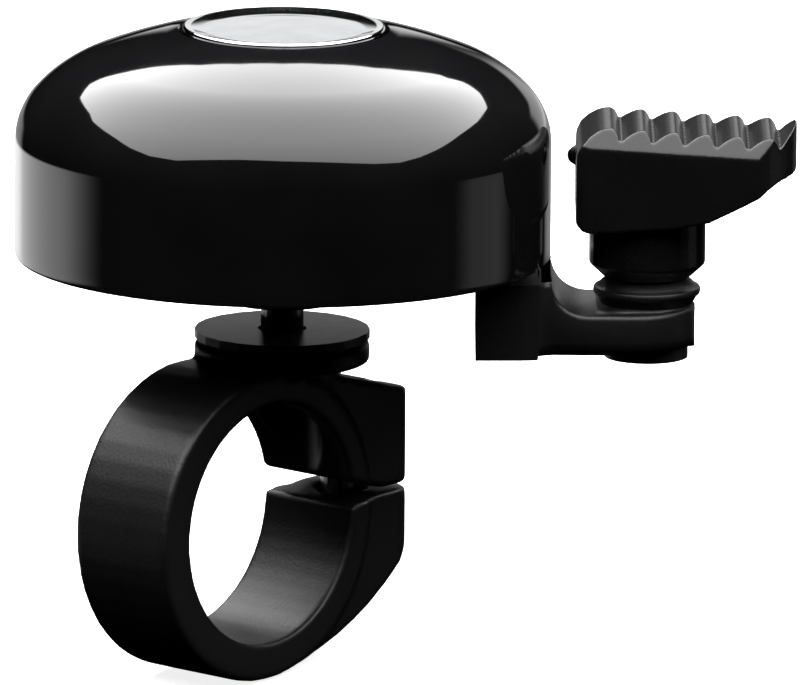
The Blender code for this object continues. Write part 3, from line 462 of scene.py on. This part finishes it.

# %% [markdown]
# The arm isn't round, so it starts from a block and is cut and pushed into shape. Three
# helpers do most of it: one selects by place, one slices the block with a flat cut and caps
# it, and one joins or cuts a solid with another and tidies up.

# %% Helpers for shaped pieces


def block(name, low, high):
    """A block between two corners in millimetres, left in edit mode."""
    deselect()
    low, high = Vector(low), Vector(high)
    bpy.ops.mesh.primitive_cube_add(size=MM, location=(low + high) / 2 * MM, scale=high - low)
    obj = bpy.context.active_object
    obj.name = obj.data.name = name
    bpy.ops.object.transform_apply(location=True, scale=True)
    bpy.ops.object.mode_set(mode="EDIT")
    return obj


def pick(kind, test):
    """Selects the vertices, edges or faces all of whose points, in millimetres, pass the test."""
    bpy.ops.mesh.select_mode(type=kind)
    bpy.ops.mesh.select_all(action="DESELECT")
    mesh = bpy.context.edit_object.data
    shape = bmesh.from_edit_mesh(mesh)
    items = {"VERT": shape.verts, "EDGE": shape.edges, "FACE": shape.faces}[kind]
    found = 0
    for item in items:
        corners = [item] if kind == "VERT" else item.verts
        if all(test(*(v.co / MM)) for v in corners):
            item.select_set(True)
            found += 1
    bmesh.update_edit_mesh(mesh)
    return found


def cut(at, normal, trim=True):
    """Slices along a plane. Trim removes what lies on the normal's side and caps the cut."""
    bpy.ops.mesh.select_all(action="SELECT")
    bpy.ops.mesh.bisect(
        plane_co=Vector(at) * MM, plane_no=normal, use_fill=trim, clear_outer=trim, threshold=1e-7
    )


def done():
    bpy.ops.mesh.select_all(action="SELECT")
    bpy.ops.mesh.normals_make_consistent(inside=False)
    bpy.ops.object.mode_set(mode="OBJECT")


def use(obj, other, operation):
    """Joins, cuts or intersects with another solid, which is then used up."""
    deselect()
    obj.select_set(True)
    bpy.context.view_layer.objects.active = obj
    boolean = obj.modifiers.new("shape", "BOOLEAN")
    boolean.operation = operation
    boolean.solver = "EXACT"
    boolean.object = other
    bpy.ops.object.modifier_apply(modifier=boolean.name)
    bpy.data.objects.remove(other, do_unlink=True)


def soften(obj, width, segments=3, angle=28.0):
    """Rounds every edge sharper than an angle, as a mould's edges are."""
    deselect()
    obj.select_set(True)
    bpy.context.view_layer.objects.active = obj
    bevel = obj.modifiers.new("edges", "BEVEL")
    bevel.width = width * MM
    bevel.segments = segments
    bevel.limit_method = "ANGLE"
    bevel.angle_limit = math.radians(angle)
    bevel.miter_outer = "MITER_ARC"
    bpy.ops.object.modifier_apply(modifier=bevel.name)


def moved(obj, x=0.0, y=0.0, z=0.0):
    obj.data.transform(Matrix.Translation(Vector((x, y, z)) * MM))
    return obj


# %% [markdown]
# **The tray** closes the bell from below. Its rim is a fat rolled bead, with a crease under
# it, and its floor sweeps in to a flat that turns on the clamp. The middle is a hub with a
# recess below, where the swivel's washer runs.

# %% Tray
BASE_R = 25.0
BOTTOM = -8.45
RIM = -1.15
bead = BASE_R + 1.15
rim_line = [(BASE_R - 1.8, RIM - 0.3), (BASE_R - 0.4, RIM - 0.25), (BASE_R + 0.1, RIM - 0.05)]
rim_line += [(BASE_R + 0.6, RIM - 0.02), (bead - 0.2, RIM - 0.45), (bead, RIM - 1.1), (bead - 0.15, RIM - 1.9)]
rim_line += [(bead - 0.6, RIM - 2.65), (BASE_R, RIM - 3.5)]
belly_line = [(BASE_R, RIM - 3.5), (BASE_R, RIM - 4.6), (BASE_R - 0.45, RIM - 5.1), (BASE_R - 1.5, RIM - 5.8)]
belly_line += [(BASE_R - 2.5, RIM - 6.55), (BASE_R - 3.6, BOTTOM + 0.15), (BASE_R - 4.6, BOTTOM)]
inside_line = [(8.9, BOTTOM), (8.9, BOTTOM + 1.7), (2.3, BOTTOM + 1.7), (2.3, BOTTOM + 3.9), (9.6, BOTTOM + 3.9)]
inside_line += [(10.6, BOTTOM + 1.8), (BASE_R - 4.3, BOTTOM + 1.8), (BASE_R - 2.4, BOTTOM + 3.2)]
inside_line += [(BASE_R - 1.8, BOTTOM + 4.4)]
tray = turned("base_shell", smoothed(rim_line, 4) + smoothed(belly_line, 4)[1:] + inside_line)
print("tray", len(tray.data.vertices), "points")

# %% [markdown]
# **The arm** grows out of the tray. It starts as a block, sliced across every half
# millimetre or so, and each slice is then pushed out sideways for the flare and up for the
# hollow curve to the bead. Its far end is trimmed round, flat by flat, and its edges are
# rounded.

# %% Arm
ARM_END_X = BASE_R + 7.1
ARM_HALF = 6.4
ARM_TOP = -4.4
ARM_LOW = BOTTOM + 0.05
FLARE_R = 2.2
ROOT_R = 3.4
ROOT_X = BASE_R + 0.1
flare_y = ARM_HALF + FLARE_R
flare_x = math.sqrt((BASE_R + FLARE_R) ** 2 - flare_y**2)
slices = [23.8, 24.2, 24.6, 25.0, 25.15, 25.3, 25.5, 25.75, 26.0, 26.3, 26.7, 27.1, 27.5, 27.9, 28.3, 28.6]


def arm_half_width(x):
    across = min(max(flare_x - x, 0.0), FLARE_R * 0.95)
    return flare_y - math.sqrt(FLARE_R**2 - across**2)


def arm_top(x):
    if x >= ROOT_X + ROOT_R:
        return ARM_TOP
    rise = 1.0 - max(x - ROOT_X, 0.0) / ROOT_R
    return RIM - 0.1 + (ARM_TOP - RIM + 0.1) * math.sqrt(1.0 - rise**2)


arm = block("arm", (18.0, -ARM_HALF, ARM_LOW), (ARM_END_X + ARM_HALF, ARM_HALF, ARM_TOP))
for x in slices:
    cut((x, 0, 0), (1, 0, 0), trim=False)
for x in [18.0] + slices:
    pick("VERT", lambda px, py, pz: abs(px - x) < 0.01)
    bpy.ops.transform.resize(value=(1.0, arm_half_width(x) / ARM_HALF, 1.0), center_override=(0.0, 0.0, 0.0))
    pick("VERT", lambda px, py, pz: abs(px - x) < 0.01 and pz > ARM_TOP - 0.01)
    bpy.ops.transform.translate(value=(0.0, 0.0, (arm_top(x) - ARM_TOP) * MM))
for step in range(1, 24):
    angle = math.pi * (step / 24 - 0.5)
    outward = (math.cos(angle), math.sin(angle), 0.0)
    at = (ARM_END_X + ARM_HALF * outward[0], ARM_HALF * outward[1], 0.0)
    cut(at, outward)


def on_side(x, y):
    if x > ARM_END_X:
        return math.hypot(x - ARM_END_X, y) > ARM_HALF - 0.05
    return abs(y) > arm_half_width(x) - 0.02


pick("EDGE", lambda x, y, z: x > 22.0 and abs(z - ARM_LOW) < 0.01 and on_side(x, y))
bpy.ops.mesh.bevel(offset=1.4 * MM, segments=5, affect="EDGES")
pick("EDGE", lambda x, y, z: x > 24.0 and z > ARM_TOP - 0.01 and abs(z - arm_top(x)) < 0.05 and on_side(x, y))
bpy.ops.mesh.bevel(offset=0.5 * MM, segments=4, affect="EDGES")
done()
print("arm", len(arm.data.polygons), "faces")

# %% [markdown]
# The inner end of the arm would poke through the tray, so a turned plug of the tray's
# hollow is cut from it first. The ball that the lever rocks on, and the round flange under
# it, are one turned piece. The spring's bore is cut through all of them.

# %% Ball and bore
BALL_R = 6.36
FLANGE_R = 4.8
FLANGE_EDGE = 0.55
HOLLOW_R = BASE_R - 0.9
PIN_R = 0.02
plug = turned("plug", [(HOLLOW_R, 1.0), (HOLLOW_R, BOTTOM + 0.9), (PIN_R, BOTTOM + 0.9), (PIN_R, 1.0)])
use(arm, plug, "DIFFERENCE")
edge_angle = math.acos((FLANGE_R - FLANGE_EDGE * 0.3) / BALL_R)
ball_line = arc(0.0, PIVOT_Z, BALL_R, math.radians(89.5), edge_angle, 24)
flange_z = ball_line[-1][1] - FLANGE_EDGE * 0.8
ball_line += arc(FLANGE_R - FLANGE_EDGE * 0.6, flange_z, FLANGE_EDGE, math.radians(35), math.radians(-65), 8)
ball_line += [(FLANGE_R - 0.5, ARM_TOP + 0.12), (FLANGE_R - 0.25, ARM_TOP - 0.5), (PIN_R, ARM_TOP - 0.5)]
ball = moved(turned("ball", ball_line, 96), x=PIVOT_X)
head_z = BOTTOM + 1.65
bore_line = [(3.5, PIVOT_Z + BALL_R + 1.0), (3.5, PIVOT_Z + BALL_R * 0.8), (2.9, PIVOT_Z + BALL_R * 0.35)]
bore_line += [(2.9, head_z), (3.9, head_z), (3.9, BOTTOM - 1.0), (PIN_R, BOTTOM - 1.0)]
bore_line += [(PIN_R, PIVOT_Z + BALL_R + 1.0)]
bore = moved(turned("bore", bore_line, 64), x=PIVOT_X)
use(tray, arm, "UNION")
use(tray, ball, "UNION")
use(tray, bore, "DIFFERENCE")
finish_piece(tray, grained_nylon, "bell", "base")

# %% [markdown]
# **The lever and the clamp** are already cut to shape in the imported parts, but with the
# knife-sharp edges of a drawing. A real mould leaves every edge a little round. Rounding
# them one by one would take long, so a copy of each part is cast again on a fine grid, and
# the grid is relaxed, which rounds edges and corners alike and leaves the flats flat.

# %% Lever and clamp


def cast_copy(name, node, grid_mm, rounds):
    """A copy of a loaded part with its triangles merged, cast on a fine grid and relaxed."""
    deselect()
    mesh = frame["nodes"][node].data.copy()
    mesh.name = name
    obj = bpy.data.objects.new(name, mesh)
    bpy.context.scene.collection.objects.link(obj)
    obj.select_set(True)
    bpy.context.view_layer.objects.active = obj
    bpy.ops.object.mode_set(mode="EDIT")
    bpy.ops.mesh.select_all(action="SELECT")
    bpy.ops.mesh.remove_doubles(threshold=0.001 * MM)
    bpy.ops.object.mode_set(mode="OBJECT")
    grid = obj.modifiers.new("grid", "REMESH")
    grid.mode = "VOXEL"
    grid.voxel_size = grid_mm * MM
    bpy.ops.object.modifier_apply(modifier=grid.name)
    relax = obj.modifiers.new("relax", "SMOOTH")
    relax.factor = 0.5
    relax.iterations = rounds
    bpy.ops.object.modifier_apply(modifier=relax.name)
    print(name, len(obj.data.polygons), "faces")
    return obj


HERE = Matrix.Identity(4)
lever = cast_copy("lever_shell", "thumb_lever", 0.15, 5)
finish_piece(lever, smooth_nylon, "lever", "thumb_lever", HERE, 180.0)
clamp = cast_copy("clamp_shell", "clamp_strap", 0.22, 24)
finish_piece(clamp, grained_nylon, "clamp", "clamp_strap", HERE, 180.0)

# %% [markdown]
# **Studio.** Gloss black shows only what it mirrors, so the lights are shapes as much as
# they are lamps. A broad soft panel hangs over the bell and is brighter at the back, which
# draws the curved window on the dome's shoulder. The sweep behind the bell glows along the
# dome's sides. The pale floor is hidden from reflections, as if the bell stood high above it.

# %% Overhead panel
PANEL_HIGH = 300.0
PANEL_EDGE = [(-3, 293), (32, 304), (75, 338), (100, 375), (137, 446), (180, 440), (250, 400), (315, 326)]
PANEL_EDGE += [(334, 181), (377, 66), (462, -87), (518, -239), (519, -381), (387, -427), (252, -416)]
PANEL_EDGE += [(127, -398), (2, -385), (-127, -360), (-289, -364), (-422, -370), (-498, -259)]
PANEL_EDGE += [(-461, -114), (-396, 6), (-311, 221), (-296, 378), (-235, 455), (-158, 480), (-121, 421)]
PANEL_EDGE += [(-73, 336), (-39, 304)]
deselect()
bpy.ops.mesh.primitive_circle_add(vertices=len(PANEL_EDGE), radius=0.4, fill_type="NGON")
panel = bpy.context.active_object
panel.name = "overhead_panel"
for vertex, (x, y) in zip(panel.data.vertices, PANEL_EDGE):
    vertex.co = (x * MM, y * MM, 0.0)
panel.matrix_world = IN_BELL @ Matrix.Translation((0.0, 0.0, PANEL_HIGH * MM))
panel.visible_camera = False
glow = bpy.data.materials.new("panel_light")
glow.use_nodes = True
tree = glow.node_tree
tree.nodes.clear()
place = add_node(tree, "ShaderNodeTexCoord").outputs["Object"]
along = add_node(tree, "ShaderNodeSeparateXYZ", links={"Vector": place}).outputs["Y"]
fade = add_node(
    tree,
    "ShaderNodeMapRange",
    values={"From Min": -0.43, "From Max": 0.45, "To Min": 2.9, "To Max": 6.6},
    links={"Value": along},
).outputs["Result"]
emission = add_node(tree, "ShaderNodeEmission", links={"Strength": fade})
tree.links.new(emission.outputs[0], add_node(tree, "ShaderNodeOutputMaterial").inputs["Surface"])
panel.data.materials.append(glow)

# %% Floor
lowest = cad_box[0][2] if hasattr(cad_box[0], "__len__") else cad_box[2]
deselect()
bpy.ops.mesh.primitive_plane_add(size=6.0, location=(0.0, 0.0, lowest - 0.0002))
floor = bpy.context.active_object
floor.name = "floor"
floor.visible_glossy = False
floor.visible_diffuse = False
paper, tree, shader, where = new_material("pale_studio_floor", {"Roughness": 0.9, "Specular IOR Level": 0.0})
fibres = noise(tree, where, 4.0)
tree.links.new(ramp(tree, fibres, [(0.3, "#fbfbfb"), (0.7, "#fefefe")]), shader.inputs["Base Color"])
shader.inputs["Emission Color"].default_value = (1.0, 1.0, 1.0, 1.0)
shader.inputs["Emission Strength"].default_value = 0.85
floor.data.materials.append(paper)

# %% World
world = bpy.data.worlds.new("studio")
bpy.context.scene.world = world
world.use_nodes = True
tree = world.node_tree
tree.nodes.clear()
# Directions in the bell's own axes: Y away from the camera, X to its right
direction = add_node(tree, "ShaderNodeTexCoord").outputs["Generated"]
turned_back = add_node(
    tree,
    "ShaderNodeVectorRotate",
    {"rotation_type": "Z_AXIS"},
    {"Angle": -arm_turn},
    {"Vector": direction},
).outputs["Vector"]
split = add_node(tree, "ShaderNodeSeparateXYZ", links={"Vector": turned_back})
bearing = add_node(
    tree, "ShaderNodeMath", {"operation": "ARCTAN2"}, links={0: split.outputs["X"], 1: split.outputs["Y"]}
).outputs[0]


def edge_at(source, start, full):
    """0 before start and 1 past full, softly. Start may be above full."""
    values = {"From Min": start, "From Max": full}
    settings = {"interpolation_type": "SMOOTHSTEP"}
    return add_node(tree, "ShaderNodeMapRange", settings, values, {"Value": source}).outputs["Result"]


def product(a, b):
    return add_node(tree, "ShaderNodeMath", {"operation": "MULTIPLY"}, links={0: a, 1: b}).outputs[0]


def card(left, right, soft, low, high, soft_z, level):
    """A soft bright card between two bearings, in degrees from straight behind, and two heights."""
    left, right, soft = math.radians(left), math.radians(right), math.radians(soft)
    across = product(edge_at(bearing, left - soft, left), edge_at(bearing, right + soft, right))
    height = split.outputs["Z"]
    tall = product(edge_at(height, low - soft_z, low), edge_at(height, high + soft_z, high))
    return add_node(tree, "ShaderNodeMath", {"operation": "MULTIPLY"}, {1: level}, {0: product(across, tall)}).outputs[0]


CARDS = [
    (-68, -22, 30, -0.27, -0.195, 0.03, 1.6),
    (-24, 20, 8, -0.19, -0.07, 0.06, 0.45),
    (13, 28, 8, -0.06, 0.14, 0.05, 0.8),
    (-4, 4, 2.5, 0.07, 0.33, 0.03, 1.15),
    (76, 88, 14, -0.27, -0.195, 0.02, 0.35),
]
level = None
for numbers in CARDS:
    one = card(*numbers)
    level = one if level is None else add_node(
        tree, "ShaderNodeMath", {"operation": "ADD"}, links={0: level, 1: one}
    ).outputs[0]
dim = add_node(tree, "ShaderNodeBackground", links={"Strength": level})
white = add_node(tree, "ShaderNodeBackground", values={"Strength": 1.05})
path = add_node(tree, "ShaderNodeLightPath").outputs["Is Camera Ray"]
choice = add_node(tree, "ShaderNodeMixShader", links={0: path, 1: dim.outputs[0], 2: white.outputs[0]})
tree.links.new(choice.outputs[0], add_node(tree, "ShaderNodeOutputWorld").inputs["Surface"])
bpy.context.scene.view_settings.view_transform = "Standard"
print("studio set")
